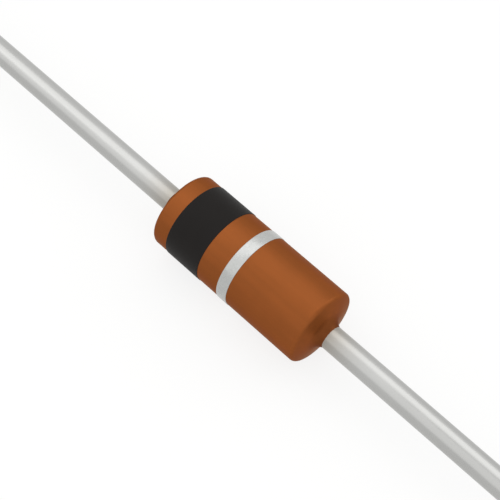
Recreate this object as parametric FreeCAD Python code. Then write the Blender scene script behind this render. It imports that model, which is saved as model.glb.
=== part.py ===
import FreeCAD, Part
import math
import os

# Zener diode: a glass sleeve fused round two metal slugs that hold the chip between them,
# with a straight wire lead welded to each slug.
# Sizes are in millimetres. +X runs along the diode from its cathode to its anode, +Z is up,
# and the origin is the middle of the sleeve, on the axis of the leads.

# Glass sleeve
body_diameter = 1.80
barrel_length = 3.96          # straight barrel, between the starts of its two rounded corners
sleeve_wall = 0.28            # glass between the slugs and the outside of the barrel
corner_radius = 0.09
end_slope_deg = 14.0          # lean of each end face from a plane square to the axis
collar_radius = 0.28          # hollow curve of the glass where it creeps up the lead
wetting_angle_deg = 20.0      # angle at which that glass meets the lead

# Wire leads
lead_diameter = 0.55
lead_free_length = 26.0       # from the tip of the glass collar to the cut end
lead_end_round = 0.03

# Slugs
slug_inset = 0.08             # depth of a slug's outer face inside the end of the barrel
slug_edge_round = 0.05
weld_bead_radius = 0.12       # rounded bead on the slug where the wire is welded to it

# Chip and what holds it between the slugs
die_side = 0.40
die_thickness = 0.18
braze_thickness = 0.03
braze_margin = 0.02           # braze that shows past the corners of the chip
bump_height = 0.07
bump_diameter = 0.26
bump_flat_diameter = 0.14     # flat that the anode slug presses on the bump

# Printed marking
ink_thickness = 0.01
cathode_band_inset = 0.335    # from the cathode end of the barrel to the near edge of the band
cathode_band_width = 0.95
silver_ring_width = 0.28
silver_ring_shift = 0.02      # middle of the ring from the middle of the barrel

# Sizes that follow
body_radius = body_diameter / 2
barrel_half = barrel_length / 2
lead_radius = lead_diameter / 2
slug_radius = body_radius - sleeve_wall
slug_face = barrel_half - slug_inset
lead_start = slug_face + weld_bead_radius
gap_length = braze_thickness + die_thickness + bump_height
gap_half = gap_length / 2
end_slope = math.radians(end_slope_deg)
wetting_angle = math.radians(wetting_angle_deg)
cone_drop = body_radius - corner_radius - lead_radius
collar_share = 1 - math.sin(end_slope + wetting_angle)
end_reach = (corner_radius + cone_drop * math.sin(end_slope) + collar_radius * collar_share) / math.cos(end_slope)
collar_tip = barrel_half + end_reach
lead_end = collar_tip + lead_free_length
die_start = -gap_half + braze_thickness
bump_start = die_start + die_thickness

ORIGIN = FreeCAD.Vector(0, 0, 0)
AXIS = FreeCAD.Vector(1, 0, 0)


def spot(x, r):
    """Point at x along the diode and r out from its axis."""
    return FreeCAD.Vector(x, 0, r)


def round_point(centre, radius, angle):
    """Place on a round of an outline, with its angle taken from the axis of the diode."""
    return centre[0] + radius * math.cos(angle), centre[1] + radius * math.sin(angle)


def line(start, end):
    return Part.LineSegment(spot(*start), spot(*end)).toShape()


def arc(centre, radius, start_angle, end_angle):
    """Round edge of an outline about its centre."""
    middle_angle = (start_angle + end_angle) / 2
    places = [round_point(centre, radius, angle) for angle in (start_angle, middle_angle, end_angle)]
    return Part.Arc(*[spot(*place) for place in places]).toShape()


def turned(edges):
    """Solid made by turning a closed outline once round the axis of the diode."""
    return Part.Face(Part.Wire(edges)).revolve(ORIGIN, AXIS, 360)


def cathode_side(solid):
    """The same piece at the other end of the diode."""
    return solid.mirror(ORIGIN, AXIS)


def anode_slug():
    """Round plug with softened rims, and on its outer face the weld bead that the wire starts from."""
    rim = slug_radius - slug_edge_round
    inner_corner = (gap_half + slug_edge_round, rim)
    outer_corner = (slug_face - slug_edge_round, rim)
    return turned([
        line((gap_half, 0), (gap_half, rim)),
        arc(inner_corner, slug_edge_round, math.pi, math.pi / 2),
        line((inner_corner[0], slug_radius), (outer_corner[0], slug_radius)),
        arc(outer_corner, slug_edge_round, math.pi / 2, 0),
        line((slug_face, rim), (slug_face, lead_radius + weld_bead_radius)),
        arc((slug_face, lead_radius), weld_bead_radius, math.pi / 2, 0),
        line((lead_start, lead_radius), (lead_start, 0)),
        line((lead_start, 0), (gap_half, 0)),
    ])


def anode_lead():
    """Straight wire from its weld to a lightly rounded cut end."""
    round_start = lead_end - lead_end_round
    rim = lead_radius - lead_end_round
    return turned([
        line((lead_start, 0), (lead_start, lead_radius)),
        line((lead_start, lead_radius), (round_start, lead_radius)),
        arc((round_start, rim), lead_end_round, math.pi / 2, 0),
        line((lead_end, rim), (lead_end, 0)),
        line((lead_end, 0), (lead_start, 0)),
    ])


def half_glass_blank():
    """Half of the glass, from its middle to the tip of the collar that creeps up the lead."""
    corner = (barrel_half, body_radius - corner_radius)
    cone_start = round_point(corner, corner_radius, end_slope)
    collar = (
        collar_tip + collar_radius * math.sin(wetting_angle),
        lead_radius + collar_radius * math.cos(wetting_angle),
    )
    collar_start_angle = math.pi + end_slope
    collar_end_angle = 1.5 * math.pi - wetting_angle
    return turned([
        line((0, 0), (0, body_radius)),
        line((0, body_radius), (barrel_half, body_radius)),
        arc(corner, corner_radius, math.pi / 2, end_slope),
        line(cone_start, round_point(collar, collar_radius, collar_start_angle)),
        arc(collar, collar_radius, collar_start_angle, collar_end_angle),
        line((collar_tip, lead_radius), (collar_tip, 0)),
        line((collar_tip, 0), (0, 0)),
    ])


def chip_space():
    """Closed space that the glass leaves between the two slugs."""
    return Part.makeCylinder(slug_radius - slug_edge_round, gap_length, spot(-gap_half, 0), AXIS)


def glass_sleeve(metal_pieces):
    """Glass fused all over the slugs, the weld beads and the buried stretch of each lead."""
    half = half_glass_blank()
    blank = half.fuse(cathode_side(half)).removeSplitter()
    return blank.cut([chip_space()] + metal_pieces)


def zener_die():
    """Square silicon chip, brazed to the cathode slug by its back."""
    corner = FreeCAD.Vector(die_start, -die_side / 2, -die_side / 2)
    return Part.makeBox(die_thickness, die_side, die_side, corner)


def die_braze():
    """Thin disc of braze between the chip and the cathode slug."""
    radius = die_side / math.sqrt(2) + braze_margin
    return Part.makeCylinder(radius, braze_thickness, spot(-gap_half, 0), AXIS)


def anode_bump():
    """Silver contact plated on the chip, narrowing to the flat that the anode slug presses."""
    return Part.makeCone(bump_diameter / 2, bump_flat_diameter / 2, bump_height, spot(bump_start, 0), AXIS)


def printed_ring(start, width):
    """Ring of ink on the barrel, with its near edge at start."""
    outer = Part.makeCylinder(body_radius + ink_thickness, width, spot(start, 0), AXIS)
    inner = Part.makeCylinder(body_radius, width, spot(start, 0), AXIS)
    return outer.cut(inner)


def cathode_band():
    """Wide black band near the cathode end."""
    return printed_ring(-barrel_half + cathode_band_inset, cathode_band_width)


def silver_ring():
    """Narrow silver ring round the middle, over the chip."""
    return printed_ring(silver_ring_shift - silver_ring_width / 2, silver_ring_width)


def diode():
    """Every piece of the diode, by its name."""
    pieces = {"anode_slug": anode_slug(), "anode_lead": anode_lead()}
    pieces["cathode_slug"] = cathode_side(pieces["anode_slug"])
    pieces["cathode_lead"] = cathode_side(pieces["anode_lead"])
    pieces["glass_sleeve"] = glass_sleeve(list(pieces.values()))
    pieces["zener_die"] = zener_die()
    pieces["die_braze"] = die_braze()
    pieces["anode_bump"] = anode_bump()
    pieces["cathode_band"] = cathode_band()
    pieces["silver_ring"] = silver_ring()
    return pieces


os.makedirs("parts", exist_ok=True)
for name, solid in diode().items():
    solid.exportStep("parts/" + name + ".step")
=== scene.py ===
import math

import bpy
from bpy.props import FloatProperty, FloatVectorProperty, IntProperty, PointerProperty
from mathutils import Matrix, Vector


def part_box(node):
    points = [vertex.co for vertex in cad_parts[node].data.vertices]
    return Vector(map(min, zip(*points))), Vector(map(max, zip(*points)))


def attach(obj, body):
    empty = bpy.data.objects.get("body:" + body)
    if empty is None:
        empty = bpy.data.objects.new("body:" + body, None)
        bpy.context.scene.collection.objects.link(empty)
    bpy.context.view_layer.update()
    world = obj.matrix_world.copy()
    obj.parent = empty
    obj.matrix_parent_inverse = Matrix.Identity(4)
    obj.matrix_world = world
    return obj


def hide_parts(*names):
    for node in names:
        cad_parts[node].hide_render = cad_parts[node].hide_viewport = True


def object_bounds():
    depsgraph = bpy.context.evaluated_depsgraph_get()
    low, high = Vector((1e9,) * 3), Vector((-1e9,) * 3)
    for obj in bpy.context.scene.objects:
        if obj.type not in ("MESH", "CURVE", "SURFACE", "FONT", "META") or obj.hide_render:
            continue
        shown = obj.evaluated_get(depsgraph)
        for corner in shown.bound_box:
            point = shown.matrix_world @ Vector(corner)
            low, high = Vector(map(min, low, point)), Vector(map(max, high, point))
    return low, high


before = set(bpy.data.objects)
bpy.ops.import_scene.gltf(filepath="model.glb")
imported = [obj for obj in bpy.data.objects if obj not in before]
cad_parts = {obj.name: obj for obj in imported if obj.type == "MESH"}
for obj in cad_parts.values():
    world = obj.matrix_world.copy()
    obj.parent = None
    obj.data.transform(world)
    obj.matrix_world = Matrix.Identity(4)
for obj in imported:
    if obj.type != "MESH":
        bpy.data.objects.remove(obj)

# Zener diode in a sealed brown glass body, with a black band at its cathode, a silver ring round
# its middle and a tinned wire out of each end. The frame is in metres, with +X along the diode
# from its cathode to its anode. Outlines are drawn in millimetres as (x along the diode, r out
# from its axis) and turned once round that axis, as on a lathe.

bl_info = {
    "name": "Axial Glass Diode",
    "version": (1, 0, 0),
    "blender": (4, 5, 0),
    "location": "3D View > Sidebar > Diode",
    "description": "Models the visible pieces of an axial glass diode round its fixed frame",
    "category": "Add Mesh",
}

CAD_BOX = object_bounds()
BODY = "root"
MM = 0.001
FULL_TURN = 2 * math.pi
HALF_TURN = math.pi
QUARTER_TURN = math.pi / 2
SMOOTH_ANGLE = math.radians(30)
MERGE_GAP = 0.0001            # in the millimetres that outlines are drawn in
FLOOR_SIDES = 64
WHITE = (1.0, 1.0, 1.0)

# Camera, with its sensor in millimetres and its clips in metres
SENSOR_WIDTH = 36
CLIP_NEAR = 0.001
CLIP_FAR = 10

# Sizes of the patterns in the finishes, in millimetres, as on a real diode. Only the grain of the
# ink, the flakes and the lines drawn along a wire are coarser than the real ones, which are 0.01 to
# 0.02 mm across, so that they show.
STRIA_LENGTH = 2.5
STRIA_WIDTH = 0.16
MOTTLE_SIZE = 0.7
RIPPLE_SIZE = 0.12
RIPPLE_DEPTH = 0.004
PRINT_SIZE = 0.35
INK_GRAIN_SIZE = 0.06
INK_GRAIN_DEPTH = 0.002
FLAKE_SIZE = 0.05
FLAKE_DEPTH = 0.002
DRAWN_LINE_LENGTH = 3.0
DRAWN_LINE_WIDTH = 0.05
DRAWN_LINE_DEPTH = 0.002
PATCH_LENGTH = 1.2
PATCH_WIDTH = 0.5

# Brightness of the second shade in a finish, as a share of its colour
THICK_INK_SHADE = 1.25
TILTED_FLAKE_SHADE = 0.94
DULL_PATCH_SHADE = 0.9
GRAIN_SHADE = 0.8
SHADE_FADE_POWER = 2.0           # how fast the painted shade on the tin fades with the distance from the glass


def linear(hex_colour):
    """Linear red, green and blue of an sRGB hex colour."""
    shares = [int(hex_colour[place:place + 2], 16) / 255 for place in (1, 3, 5)]
    return tuple(
        share / 12.92 if share <= 0.04045 else ((share + 0.055) / 1.055) ** 2.4
        for share in shares
    )


def shaded(rgb, share):
    """Lighter or darker shade of a linear colour."""
    return tuple(min(1.0, part * share) for part in rgb)


def length(name, description, millimetres):
    """Length property with its default in millimetres."""
    return FloatProperty(
        name=name,
        description=description,
        default=millimetres * MM,
        min=0.0,
        subtype="DISTANCE",
        unit="LENGTH",
    )


def angle(name, description, degrees):
    """Angle property with its default in degrees."""
    return FloatProperty(
        name=name,
        description=description,
        default=math.radians(degrees),
        subtype="ANGLE",
    )


def colour(name, description, hex_colour):
    """Colour property with its default as an sRGB hex value."""
    return FloatVectorProperty(
        name=name,
        description=description,
        default=linear(hex_colour),
        size=3,
        min=0.0,
        max=1.0,
        subtype="COLOR",
    )


def level(name, description, default):
    """Plain number property for the strength of a light."""
    return FloatProperty(name=name, description=description, default=default, min=0.0)


def steps(name, description, default, fewest):
    """Whole number property for how finely a shape is drawn."""
    return IntProperty(name=name, description=description, default=default, min=fewest)


class DiodeSizes(bpy.types.PropertyGroup):
    """Sizes of the diode's rounds, edges and shaded zones, which its frame doesn't give."""

    shoulder_radius: length("Shoulder Radius", "Round between the barrel and each end face", 0.09)
    end_slope: angle("End Slope", "Lean of each end face from a plane square to the axis", 14.0)
    collar_radius: length("Collar Radius", "Hollow curve of the glass as it creeps up the wire", 0.28)
    wetting_angle: angle("Wetting Angle", "Angle at which that glass meets the wire", 20.0)
    slug_round: length("Slug Edge Round", "Round on the rims of each slug in the glass", 0.05)
    bead_radius: length("Weld Bead Radius", "Bead on each slug where its wire is welded", 0.12)
    ink_depth: length("Ink Depth", "How far the ink keys into the surface of the glass", 0.004)
    cut_round: length("Cut End Round", "Round on the cut end of each wire", 0.03)
    # Painted shade: each collar is painted darker near its wire, fading out between these two distances
    root_shade_start: length("Root Start", "How far off the wire a collar starts to get paler", 0.025)
    root_shade_end: length("Root End", "How far off the wire it is as pale as the barrel", 0.245)
    # Reach of the painted shade and painted reflection on the tin next to the glass
    shade_reach: length("Dull Reach", "How far out of the glass the tin of a wire is dulled", 1.15)
    turn_steps: steps("Turn Steps", "Steps in one turn of an outline", 144, 24)
    round_steps: steps("Round Steps", "Steps in each round of an outline", 10, 3)


class DiodeColours(bpy.types.PropertyGroup):
    """Colours of the diode's finishes."""

    glass: colour("Glass", "Brown of the glass over its oxidised copper", "#8C4D24")
    glass_dark: colour("Glass Streaks", "Darker brown of the striae in the glass", "#844922")
    glass_edge: colour("Glass Edge", "Tint of the glass where it is seen at a slant", "#C6A884")
    # Painted shade in the hollow where each collar meets its wire
    painted_root_shade: colour("Glass Root", "Dark brown where the glass thins out over the wire", "#6B3A1B")
    black_ink: colour("Black Ink", "Black of the cathode band", "#201E1D")
    silver_ink: colour("Silver Ink", "Silver of the middle ring", "#B4B5B3")
    tin: colour("Tin", "Grey of the tinned wires", "#B3B3B1")
    # Painted shade and painted reflection of the brown glass, on the tin next to the glass
    painted_shade_tin: colour("Dull Tin", "Duller, warmer grey of the tin where it meets the glass", "#9B968E")
    copper: colour("Copper", "Copper cladding of the slugs", "#B5694A")
    silicon: colour("Silicon", "Dark grey of the chip", "#4A4A50")
    silver: colour("Silver", "Silver of the braze and the contact bump", "#E2DFD8")
    floor: colour("Floor", "White of the floor", "#FCFCFA")


class DiodeStage(bpy.types.PropertyGroup):
    """Camera and studio light. A lean is taken from overhead towards +Y."""

    lens: FloatProperty(
        name="Lens",
        description="Focal length of the camera",
        default=106.74,
        min=1.0,
        subtype="DISTANCE_CAMERA",
    )
    distance: length("Camera Distance", "From the camera to the plane of the diode's middle", 31.34)
    azimuth: angle("Azimuth", "Way the camera looks, turned from +Y towards -X", 44.78)
    elevation: angle("Elevation", "Height of the camera above the horizon", 60.13)
    aim_rise: length("Aim Rise", "How far above the diode's middle the camera aims", 0.374)
    aim_left: length("Aim Left", "How far to the left of the diode's middle the camera aims", 0.0109)
    front_light: level("Front Softbox", "Brightness added by the softbox on the camera's side", 0.36)
    top_light: level("Overhead Softbox", "Brightness added by the softbox over the diode", 0.9)
    rear_light: level("Rear Softbox", "Brightness added by the softbox behind the diode", 0.1)
    ambient: level("Ambient Light", "Brightness of the room that lights dull surfaces", 0.68)
    front_edge: angle("Front Edge", "Lean of the front softbox's low edge", -69.0)
    top_front_edge: angle("Overhead Front Edge", "Lean where overhead and front softbox meet", -9.0)
    top_rear_edge: angle("Overhead Rear Edge", "Lean where overhead and rear softbox meet", 42.0)
    rear_edge: angle("Rear Edge", "Lean of the rear softbox's low edge", 80.0)
    box_length: length("Softbox Length", "Length of each softbox along the diode", 2400)
    box_distance: length("Softbox Distance", "From the diode to the middle of each softbox", 500)
    box_shift: length("Softbox Shift", "How far the front and rear softbox are moved towards +X", 200)
    overhead_shift: length("Overhead Shift", "How far the overhead softbox is moved towards -X", 210)
    overhead_turn: angle("Overhead Turn", "Turn of the overhead softbox about its own middle", 40.0)
    floor_radius: length("Floor Radius", "Radius of the round floor", 1500)
    floor_white: FloatProperty(
        name="Floor White",
        description="Share of plain white in what is seen of the floor",
        default=0.8,
        min=0.0,
        max=1.0,
        subtype="FACTOR",
    )


def box_mm(node):
    """Lowest and highest corner of a CAD node, in millimetres."""
    low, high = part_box(node)
    return low / MM, high / MM


def arc(centre, radius, start, end, count):
    """Points along a round of an outline, with its angles taken from the way of +X."""
    angles = [start + (end - start) * step / count for step in range(count + 1)]
    return [(centre[0] + radius * math.cos(a), centre[1] + radius * math.sin(a)) for a in angles]


def turned(name, outline, turn_steps):
    """Draw an outline point by point and spin it once round the axis of the diode."""
    bpy.ops.object.select_all(action="DESELECT")
    bpy.ops.mesh.primitive_plane_add(size=1)
    piece = bpy.context.object
    piece.name = name
    bpy.ops.object.mode_set(mode="EDIT")
    bpy.ops.mesh.merge(type="CENTER")
    bpy.ops.transform.translate(value=(outline[0][0], 0, outline[0][1]))
    for (x, r), (next_x, next_r) in zip(outline, outline[1:]):
        bpy.ops.mesh.extrude_region_move(TRANSFORM_OT_translate={"value": (next_x - x, 0, next_r - r)})
    bpy.ops.mesh.select_all(action="SELECT")
    bpy.ops.mesh.spin(steps=turn_steps, angle=FULL_TURN, center=(0, 0, 0), axis=(1, 0, 0))
    bpy.ops.mesh.select_all(action="SELECT")
    bpy.ops.mesh.remove_doubles(threshold=MERGE_GAP)
    bpy.ops.mesh.normals_make_consistent(inside=False)
    bpy.ops.object.mode_set(mode="OBJECT")
    bpy.ops.object.shade_smooth_by_angle(angle=SMOOTH_ANGLE)
    piece.scale = (MM, MM, MM)
    bpy.ops.object.transform_apply(location=True, rotation=True, scale=True)
    return piece


def sleeve_outline(sizes):
    """Section of the glass: over its outside to a collar tip, and back along the metal it holds."""
    radius = box_mm("glass_sleeve")[1].z
    collar_tip = box_mm("glass_sleeve")[1].x
    wire_radius = box_mm("anode_lead")[1].z
    wire_start = box_mm("anode_lead")[0].x
    slug_radius = box_mm("anode_slug")[1].z
    gap_half = box_mm("anode_slug")[0].x
    shoulder = sizes.shoulder_radius / MM
    collar = sizes.collar_radius / MM
    bead = sizes.bead_radius / MM
    rim = sizes.slug_round / MM
    slope = sizes.end_slope
    wetting = sizes.wetting_angle
    count = sizes.round_steps

    drop = radius - shoulder - wire_radius
    collar_share = 1 - math.sin(slope + wetting)
    end_reach = (shoulder + drop * math.sin(slope) + collar * collar_share) / math.cos(slope)
    barrel_end = collar_tip - end_reach
    collar_centre = (collar_tip + collar * math.sin(wetting), wire_radius + collar * math.cos(wetting))
    slug_face = wire_start - bead
    half = (
        arc((barrel_end, radius - shoulder), shoulder, QUARTER_TURN, slope, count)
        + arc(collar_centre, collar, HALF_TURN + slope, 3 * QUARTER_TURN - wetting, count)
        + arc((slug_face, wire_radius), bead, 0, QUARTER_TURN, count)
        + arc((slug_face - rim, slug_radius - rim), rim, 0, QUARTER_TURN, count)
        + arc((gap_half + rim, slug_radius - rim), rim, QUARTER_TURN, HALF_TURN, count)
    )
    other_half = [(-x, r) for x, r in reversed(half)]
    return half + other_half + half[:1]


def ring_outline(node, sizes):
    """Section of a printed ring: rounded at its edges, and keyed a little into the glass."""
    low, high = box_mm(node)
    glass_radius = box_mm("glass_sleeve")[1].z
    ink = high.z - glass_radius
    depth = glass_radius - sizes.ink_depth / MM
    count = sizes.round_steps
    over = (
        arc((low.x + ink, glass_radius), ink, HALF_TURN, QUARTER_TURN, count)
        + arc((high.x - ink, glass_radius), ink, QUARTER_TURN, 0, count)
    )
    return [(low.x, depth)] + over + [(high.x, depth), (low.x, depth)]


def wire_outline(sizes):
    """Half section of the anode wire, from its weld to its cut end."""
    low, high = box_mm("anode_lead")
    cut = sizes.cut_round / MM
    end = arc((high.x - cut, high.z - cut), cut, QUARTER_TURN, 0, sizes.round_steps)
    return [(low.x, 0), (low.x, high.z)] + end + [(high.x, 0)]


def add(tree, kind, inputs=(), **settings):
    """Add a node to a tree, set what it is given, and link the sockets of other nodes to it."""
    node = tree.nodes.new(kind)
    for name, value in settings.items():
        setattr(node, name, value)
    for name, value in dict(inputs).items():
        if isinstance(value, bpy.types.NodeSocket):
            tree.links.new(value, node.inputs[name])
        else:
            node.inputs[name].default_value = value
    return node


def emptied(owner):
    """Node tree of a material or world, with its first nodes removed."""
    owner.use_nodes = True
    owner.node_tree.nodes.clear()
    return owner.node_tree


def per(along, across=None):
    """Mapping scale of a pattern, from its size in millimetres along the diode and across it."""
    across = across or along
    return 1 / (along * MM), 1 / (across * MM), 1 / (across * MM)


def opaque(rgb):
    """Colour as a node's socket takes it, with nothing showing through."""
    return (*rgb, 1.0)


def sealing_glass(colours, sizes):
    """Sealing glass fused over oxidised copper.

    The copper under the glass gives the brown its warm, slightly metallic sheen, and the drawn
    tube leaves faint striae along the barrel. Round the root of each collar on its wire the brown is
    painted darker, as painted shade in that hollow.
    """
    material = bpy.data.materials.new("Sealing Glass Over Copper")
    tree = emptied(material)
    place = add(tree, "ShaderNodeTexCoord").outputs["Object"]
    along = add(tree, "ShaderNodeMapping", {"Vector": place, "Scale": per(STRIA_LENGTH, STRIA_WIDTH)})
    striae = add(
        tree, "ShaderNodeTexNoise", {"Vector": along.outputs["Vector"], "Scale": 1.0, "Detail": 3.0}
    )
    cloud = add(tree, "ShaderNodeMapping", {"Vector": place, "Scale": per(MOTTLE_SIZE)})
    mottle = add(
        tree, "ShaderNodeTexNoise", {"Vector": cloud.outputs["Vector"], "Scale": 1.0, "Detail": 4.0}
    )
    share = add(
        tree,
        "ShaderNodeMath",
        {0: striae.outputs["Fac"], 1: mottle.outputs["Fac"]},
        operation="MULTIPLY",
    )
    tone = add(
        tree, "ShaderNodeMapRange", {"Value": share.outputs["Value"], "From Min": 0.12, "From Max": 0.4}
    )
    brown = add(
        tree,
        "ShaderNodeMix",
        {"Factor": tone.outputs["Result"], "A": opaque(colours.glass_dark), "B": opaque(colours.glass)},
        data_type="RGBA",
    )
    # Painted shade: the brown is mixed towards a darker brown near the wire, where the collar hollows
    # in
    across = add(tree, "ShaderNodeMapping", {"Vector": place, "Scale": (0.0, 1.0, 1.0)})
    from_axis = add(tree, "ShaderNodeVectorMath", {0: across.outputs["Vector"]}, operation="LENGTH")
    wire_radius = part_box("anode_lead")[1].z
    root = add(
        tree,
        "ShaderNodeMapRange",
        {
            "Value": from_axis.outputs["Value"],
            "From Min": wire_radius + sizes.root_shade_start,
            "From Max": wire_radius + sizes.root_shade_end,
            "To Min": 1.0,
            "To Max": 0.0,
        },
    )
    body = add(
        tree,
        "ShaderNodeMix",
        {
            "Factor": root.outputs["Result"],
            "A": brown.outputs["Result"],
            "B": opaque(colours.painted_root_shade),
        },
        data_type="RGBA",
    )
    skin = add(tree, "ShaderNodeMapping", {"Vector": place, "Scale": per(RIPPLE_SIZE)})
    ripple = add(
        tree, "ShaderNodeTexNoise", {"Vector": skin.outputs["Vector"], "Scale": 1.0, "Detail": 2.0}
    )
    rough = add(
        tree, "ShaderNodeMapRange", {"Value": mottle.outputs["Fac"], "To Min": 0.4, "To Max": 0.5}
    )
    bump = add(
        tree,
        "ShaderNodeBump",
        {"Height": ripple.outputs["Fac"], "Strength": 0.25, "Distance": RIPPLE_DEPTH * MM},
    )
    shader = add(
        tree,
        "ShaderNodeBsdfPrincipled",
        {
            "Base Color": body.outputs["Result"],
            "Metallic": 0.78,
            "Roughness": rough.outputs["Result"],
            "IOR": 1.52,
            "Specular IOR Level": 0.2,
            "Specular Tint": opaque(colours.glass_edge),
            "Coat Weight": 0.04,
            "Coat Roughness": 0.25,
            "Normal": bump.outputs["Normal"],
        },
    )
    add(tree, "ShaderNodeOutputMaterial", {"Surface": shader.outputs["BSDF"]})
    return material


def stoved_black_ink(colours):
    """Black glass-printing ink, stoved on.

    It lies flat and satin, a little uneven in gloss where the print is thicker.
    """
    material = bpy.data.materials.new("Stoved Black Ink")
    tree = emptied(material)
    place = add(tree, "ShaderNodeTexCoord").outputs["Object"]
    print_map = add(tree, "ShaderNodeMapping", {"Vector": place, "Scale": per(PRINT_SIZE)})
    print_noise = add(
        tree, "ShaderNodeTexNoise", {"Vector": print_map.outputs["Vector"], "Scale": 1.0, "Detail": 4.0}
    )
    thick_ink = shaded(colours.black_ink, THICK_INK_SHADE)
    black = add(
        tree,
        "ShaderNodeMix",
        {"Factor": print_noise.outputs["Fac"], "A": opaque(colours.black_ink), "B": opaque(thick_ink)},
        data_type="RGBA",
    )
    rough = add(
        tree, "ShaderNodeMapRange", {"Value": print_noise.outputs["Fac"], "To Min": 0.42, "To Max": 0.6}
    )
    grain_map = add(tree, "ShaderNodeMapping", {"Vector": place, "Scale": per(INK_GRAIN_SIZE)})
    grain = add(
        tree, "ShaderNodeTexNoise", {"Vector": grain_map.outputs["Vector"], "Scale": 1.0, "Detail": 2.0}
    )
    bump = add(
        tree,
        "ShaderNodeBump",
        {"Height": grain.outputs["Fac"], "Strength": 0.3, "Distance": INK_GRAIN_DEPTH * MM},
    )
    shader = add(
        tree,
        "ShaderNodeBsdfPrincipled",
        {
            "Base Color": black.outputs["Result"],
            "Roughness": rough.outputs["Result"],
            "IOR": 1.5,
            "Specular IOR Level": 0.05,
            "Normal": bump.outputs["Normal"],
        },
    )
    add(tree, "ShaderNodeOutputMaterial", {"Surface": shader.outputs["BSDF"]})
    return material


def flake_silver_ink(colours):
    """Printing ink filled with aluminium flake.

    The flakes lie nearly flat, so it shines like dull metal with a fine sparkle.
    """
    material = bpy.data.materials.new("Aluminium Flake Ink")
    tree = emptied(material)
    place = add(tree, "ShaderNodeTexCoord").outputs["Object"]
    flake_map = add(tree, "ShaderNodeMapping", {"Vector": place, "Scale": per(FLAKE_SIZE)})
    flakes = add(tree, "ShaderNodeTexVoronoi", {"Vector": flake_map.outputs["Vector"], "Scale": 1.0})
    flake_shade = add(tree, "ShaderNodeSeparateColor", {"Color": flakes.outputs["Color"]})
    rough = add(
        tree,
        "ShaderNodeMapRange",
        {"Value": flake_shade.outputs["Red"], "To Min": 0.26, "To Max": 0.34},
    )
    tilted = shaded(colours.silver_ink, TILTED_FLAKE_SHADE)
    silver = add(
        tree,
        "ShaderNodeMix",
        {"Factor": flake_shade.outputs["Green"], "A": opaque(tilted), "B": opaque(colours.silver_ink)},
        data_type="RGBA",
    )
    bump = add(
        tree,
        "ShaderNodeBump",
        {"Height": flakes.outputs["Distance"], "Strength": 0.15, "Distance": FLAKE_DEPTH * MM},
    )
    shader = add(
        tree,
        "ShaderNodeBsdfPrincipled",
        {
            "Base Color": silver.outputs["Result"],
            "Metallic": 0.85,
            "Roughness": rough.outputs["Result"],
            "Normal": bump.outputs["Normal"],
        },
    )
    add(tree, "ShaderNodeOutputMaterial", {"Surface": shader.outputs["BSDF"]})
    return material


def matte_tin(colours, sizes):
    """Tin plated on drawn wire.

    It is a soft grey metal with faint drawing lines along the wire, and dulls in patches. Next to
    the glass it is painted darker and warmer all round, as painted shade and a painted reflection of
    the brown glass.
    """
    material = bpy.data.materials.new("Tin Plated Wire")
    tree = emptied(material)
    place = add(tree, "ShaderNodeTexCoord").outputs["Object"]
    line_map = add(
        tree, "ShaderNodeMapping", {"Vector": place, "Scale": per(DRAWN_LINE_LENGTH, DRAWN_LINE_WIDTH)}
    )
    lines = add(
        tree, "ShaderNodeTexNoise", {"Vector": line_map.outputs["Vector"], "Scale": 1.0, "Detail": 3.0}
    )
    patch_map = add(
        tree, "ShaderNodeMapping", {"Vector": place, "Scale": per(PATCH_LENGTH, PATCH_WIDTH)}
    )
    patches = add(
        tree, "ShaderNodeTexNoise", {"Vector": patch_map.outputs["Vector"], "Scale": 1.0, "Detail": 4.0}
    )
    dull_patch = shaded(colours.tin, DULL_PATCH_SHADE)
    grey = add(
        tree,
        "ShaderNodeMix",
        {"Factor": patches.outputs["Fac"], "A": opaque(dull_patch), "B": opaque(colours.tin)},
        data_type="RGBA",
    )
    # Painted shade and painted reflection of the brown glass: the tin is mixed towards a darker, warmer
    # grey near the glass
    collar_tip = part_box("glass_sleeve")[1].x
    ways = add(tree, "ShaderNodeSeparateXYZ", {"Vector": place})
    from_middle = add(tree, "ShaderNodeMath", {0: ways.outputs["X"]}, operation="ABSOLUTE")
    nearness = add(
        tree,
        "ShaderNodeMapRange",
        {
            "Value": from_middle.outputs["Value"],
            "From Min": collar_tip,
            "From Max": collar_tip + sizes.shade_reach,
            "To Min": 1.0,
            "To Max": 0.0,
        },
    )
    painted_tin_shade = add(
        tree,
        "ShaderNodeMath",
        {0: nearness.outputs["Result"], 1: SHADE_FADE_POWER},
        operation="POWER",
    )
    plating = add(
        tree,
        "ShaderNodeMix",
        {
            "Factor": painted_tin_shade.outputs["Value"],
            "A": grey.outputs["Result"],
            "B": opaque(colours.painted_shade_tin),
        },
        data_type="RGBA",
    )
    rough = add(
        tree, "ShaderNodeMapRange", {"Value": patches.outputs["Fac"], "To Min": 0.24, "To Max": 0.34}
    )
    bump = add(
        tree,
        "ShaderNodeBump",
        {"Height": lines.outputs["Fac"], "Strength": 0.2, "Distance": DRAWN_LINE_DEPTH * MM},
    )
    shader = add(
        tree,
        "ShaderNodeBsdfPrincipled",
        {
            "Base Color": plating.outputs["Result"],
            "Metallic": 1.0,
            "Roughness": rough.outputs["Result"],
            "Normal": bump.outputs["Normal"],
        },
    )
    add(tree, "ShaderNodeOutputMaterial", {"Surface": shader.outputs["BSDF"]})
    return material


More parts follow.
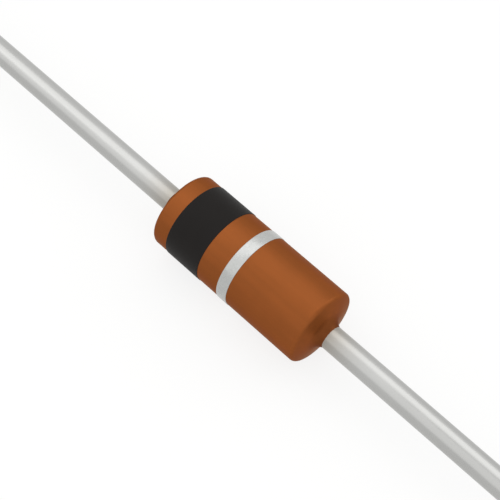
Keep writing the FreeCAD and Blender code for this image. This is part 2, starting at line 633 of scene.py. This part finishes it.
def sealed_finish(name, rgb, grain, metallic, roughness):
    """Finish of a piece sealed in the glass: one colour, with a grain of this size in millimetres."""
    material = bpy.data.materials.new(name)
    tree = emptied(material)
    place = add(tree, "ShaderNodeTexCoord").outputs["Object"]
    grain_map = add(tree, "ShaderNodeMapping", {"Vector": place, "Scale": per(grain)})
    noise = add(tree, "ShaderNodeTexNoise", {"Vector": grain_map.outputs["Vector"], "Scale": 1.0})
    dark = shaded(rgb, GRAIN_SHADE)
    tint = add(
        tree,
        "ShaderNodeMix",
        {"Factor": noise.outputs["Fac"], "A": opaque(dark), "B": opaque(rgb)},
        data_type="RGBA",
    )
    shader = add(
        tree,
        "ShaderNodeBsdfPrincipled",
        {"Base Color": tint.outputs["Result"], "Metallic": metallic, "Roughness": roughness},
    )
    add(tree, "ShaderNodeOutputMaterial", {"Surface": shader.outputs["BSDF"]})
    return material


def seen_rays(tree):
    """Socket that is 1 for what the camera sees, also in a reflection or through glass, and else 0."""
    path = add(tree, "ShaderNodeLightPath")
    seen = add(
        tree,
        "ShaderNodeMath",
        {0: path.outputs["Is Camera Ray"], 1: path.outputs["Is Glossy Ray"]},
        operation="MAXIMUM",
    )
    seen_through = add(
        tree,
        "ShaderNodeMath",
        {0: seen.outputs["Value"], 1: path.outputs["Is Transmission Ray"]},
        operation="MAXIMUM",
    )
    return seen_through.outputs["Value"]


def shadow_floor(colours, stage):
    """Matte white sweep.

    What the camera and shiny surfaces see is mostly plain white, with enough of the lit surface
    left in it to keep a soft shadow. It can be looked through from below.
    """
    material = bpy.data.materials.new("White Studio Sweep")
    tree = emptied(material)
    share = add(
        tree, "ShaderNodeMath", {0: seen_rays(tree), 1: stage.floor_white}, operation="MULTIPLY"
    )
    matte = add(tree, "ShaderNodeBsdfDiffuse", {"Color": opaque(colours.floor)})
    white = add(tree, "ShaderNodeEmission", {"Strength": 1.0})
    top = add(
        tree,
        "ShaderNodeMixShader",
        {0: share.outputs["Value"], 1: matte.outputs["BSDF"], 2: white.outputs["Emission"]},
    )
    sides = add(tree, "ShaderNodeNewGeometry")
    clear = add(tree, "ShaderNodeBsdfTransparent")
    both = add(
        tree,
        "ShaderNodeMixShader",
        {0: sides.outputs["Backfacing"], 1: top.outputs["Shader"], 2: clear.outputs["BSDF"]},
    )
    add(tree, "ShaderNodeOutputMaterial", {"Surface": both.outputs["Shader"]})
    return material


def finish_piece(piece, material, node):
    """Paint a new piece, and let it stand for its CAD node."""
    piece.data.materials.clear()
    piece.data.materials.append(material)
    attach(piece, BODY)
    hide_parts(node)


class DIODE_OT_glass_body(bpy.types.Operator):
    """Turn the glass body with its shoulders, sloping ends and collars"""

    bl_idname = "diode.glass_body"
    bl_label = "Glass Body"

    def execute(self, context):
        sizes = context.scene.diode_sizes
        glass = sealing_glass(context.scene.diode_colours, sizes)
        body = turned("glass_body", sleeve_outline(sizes), sizes.turn_steps)
        finish_piece(body, glass, "glass_sleeve")
        return {"FINISHED"}


class DIODE_OT_printed_rings(bpy.types.Operator):
    """Print the black cathode band and the silver middle ring on the barrel"""

    bl_idname = "diode.printed_rings"
    bl_label = "Printed Rings"

    def execute(self, context):
        sizes = context.scene.diode_sizes
        colours = context.scene.diode_colours
        band = turned("black_band", ring_outline("cathode_band", sizes), sizes.turn_steps)
        finish_piece(band, stoved_black_ink(colours), "cathode_band")
        ring = turned("middle_ring", ring_outline("silver_ring", sizes), sizes.turn_steps)
        finish_piece(ring, flake_silver_ink(colours), "silver_ring")
        return {"FINISHED"}


class DIODE_OT_wires(bpy.types.Operator):
    """Turn one tinned wire, and copy it to the other end"""

    bl_idname = "diode.wires"
    bl_label = "Wires"

    def execute(self, context):
        sizes = context.scene.diode_sizes
        tin = matte_tin(context.scene.diode_colours, sizes)
        anode_wire = turned("anode_wire", wire_outline(sizes), sizes.turn_steps)
        bpy.ops.object.duplicate()
        cathode_wire = context.object
        cathode_wire.name = "cathode_wire"
        cathode_wire.rotation_euler.z = HALF_TURN
        bpy.ops.object.transform_apply(location=True, rotation=True, scale=True)
        finish_piece(anode_wire, tin, "anode_lead")
        finish_piece(cathode_wire, tin, "cathode_lead")
        return {"FINISHED"}


class DIODE_OT_sealed_pieces(bpy.types.Operator):
    """Give the slugs, the chip and its contacts their own finishes"""

    bl_idname = "diode.sealed_pieces"
    bl_label = "Sealed Pieces"

    def execute(self, context):
        colours = context.scene.diode_colours
        # Copper drawn over a nickel-iron core is a soft red metal, silicon lapped flat is dark and
        # half mirror-like, and plated silver is pale and satin.
        copper = sealed_finish(
            "Copper Clad Alloy", colours.copper, grain=0.1, metallic=1.0, roughness=0.4
        )
        silicon = sealed_finish(
            "Lapped Silicon", colours.silicon, grain=0.05, metallic=0.6, roughness=0.25
        )
        silver = sealed_finish(
            "Plated Silver", colours.silver, grain=0.03, metallic=1.0, roughness=0.35
        )
        finishes = {
            "cathode_slug": copper,
            "anode_slug": copper,
            "zener_die": silicon,
            "die_braze": silver,
            "anode_bump": silver,
        }
        for name, material in finishes.items():
            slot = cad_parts[name].material_slots[0]
            slot.link = "OBJECT"
            slot.material = material
        return {"FINISHED"}


def softbox(stage, name, added, low, high, shift, turn=0):
    """Long area light of an even brightness, between two leans from overhead towards +Y.

    Its shift is along the diode. A box that is turned about its own middle keeps its width across
    the diode.
    """
    light = bpy.data.lights.new(name, "AREA")
    light.shape = "RECTANGLE"
    light.size = stage.box_length
    light.size_y = 2 * stage.box_distance * math.tan((high - low) / 2) * math.cos(turn)
    light.energy = added * math.pi * light.size * light.size_y
    lamp = bpy.data.objects.new(name, light)
    bpy.context.scene.collection.objects.link(lamp)
    lean = (low + high) / 2
    lamp.location.x = shift
    lamp.location.y = stage.box_distance * math.sin(lean)
    lamp.location.z = stage.box_distance * math.cos(lean)
    lamp.rotation_mode = "ZYX"
    lamp.rotation_euler = (-lean, 0, turn)
    lamp.visible_camera = False


def studio_world(stage):
    """Even white room: full white where it is seen or mirrored, dimmer where it lights."""
    world = bpy.data.worlds.new("White Room")
    bpy.context.scene.world = world
    tree = emptied(world)
    strength = add(
        tree, "ShaderNodeMapRange", {"Value": seen_rays(tree), "To Min": stage.ambient, "To Max": 1.0}
    )
    sky = add(
        tree, "ShaderNodeBackground", {"Color": opaque(WHITE), "Strength": strength.outputs["Result"]}
    )
    add(tree, "ShaderNodeOutputWorld", {"Surface": sky.outputs["Background"]})


def picture_camera(stage):
    """Camera that looks down on the diode at the photograph's angle."""
    right = Vector((math.cos(stage.azimuth), math.sin(stage.azimuth), 0))
    level_way = Vector((-math.sin(stage.azimuth), math.cos(stage.azimuth), 0))
    up = level_way * math.sin(stage.elevation) + Vector((0, 0, math.cos(stage.elevation)))
    back = right.cross(up)
    data = bpy.data.cameras.new("picture_camera")
    data.lens = stage.lens
    data.sensor_width = SENSOR_WIDTH
    data.clip_start = CLIP_NEAR
    data.clip_end = CLIP_FAR
    camera = bpy.data.objects.new("picture_camera", data)
    bpy.context.scene.collection.objects.link(camera)
    place = Matrix((right, up, back)).transposed().to_4x4()
    place.translation = up * stage.aim_rise - right * stage.aim_left + back * stage.distance
    camera.matrix_world = place
    bpy.context.scene.camera = camera


class DIODE_OT_studio(bpy.types.Operator):
    """Set the floor, the light and the camera"""

    bl_idname = "diode.studio"
    bl_label = "Studio"

    def execute(self, context):
        stage = context.scene.diode_stage
        context.scene.view_settings.view_transform = "Standard"
        bpy.ops.object.select_all(action="DESELECT")
        bpy.ops.mesh.primitive_circle_add(
            vertices=FLOOR_SIDES,
            radius=stage.floor_radius,
            fill_type="NGON",
            location=(0, 0, CAD_BOX[0].z),
        )
        floor = context.object
        floor.name = "floor"
        floor.data.materials.append(shadow_floor(context.scene.diode_colours, stage))
        front = stage.top_front_edge
        rear = stage.top_rear_edge
        shift = stage.box_shift
        turn = stage.overhead_turn
        softbox(stage, "front_softbox", stage.front_light, stage.front_edge, front, shift)
        softbox(stage, "overhead_softbox", stage.top_light, front, rear, -stage.overhead_shift, turn)
        softbox(stage, "rear_softbox", stage.rear_light, rear, stage.rear_edge, shift)
        studio_world(stage)
        picture_camera(stage)
        return {"FINISHED"}


class DIODE_PT_panel(bpy.types.Panel):
    """Sizes, colours and stage of the diode, and the steps that make it"""

    bl_idname = "DIODE_PT_panel"
    bl_label = "Glass Diode"
    bl_space_type = "VIEW_3D"
    bl_region_type = "UI"
    bl_category = "Diode"

    def draw(self, context):
        column = self.layout.column()
        for group_name in GROUPS:
            group = getattr(context.scene, group_name)
            for name in group.__annotations__:
                column.prop(group, name)
        for step in STEPS:
            column.operator(step.bl_idname)


GROUPS = {"diode_sizes": DiodeSizes, "diode_colours": DiodeColours, "diode_stage": DiodeStage}
STEPS = (
    DIODE_OT_studio,
    DIODE_OT_glass_body,
    DIODE_OT_printed_rings,
    DIODE_OT_wires,
    DIODE_OT_sealed_pieces,
)


def register():
    for name, group in GROUPS.items():
        bpy.utils.register_class(group)
        setattr(bpy.types.Scene, name, PointerProperty(type=group))
    for step in STEPS:
        bpy.utils.register_class(step)
    bpy.utils.register_class(DIODE_PT_panel)


def unregister():
    bpy.utils.unregister_class(DIODE_PT_panel)
    for step in reversed(STEPS):
        bpy.utils.unregister_class(step)
    for name, group in reversed(GROUPS.items()):
        delattr(bpy.types.Scene, name)
        bpy.utils.unregister_class(group)


def main():
    register()
    bpy.ops.diode.studio()
    bpy.ops.diode.glass_body()
    bpy.ops.diode.printed_rings()
    bpy.ops.diode.wires()
    bpy.ops.diode.sealed_pieces()


if __name__ == "__main__":
    main()
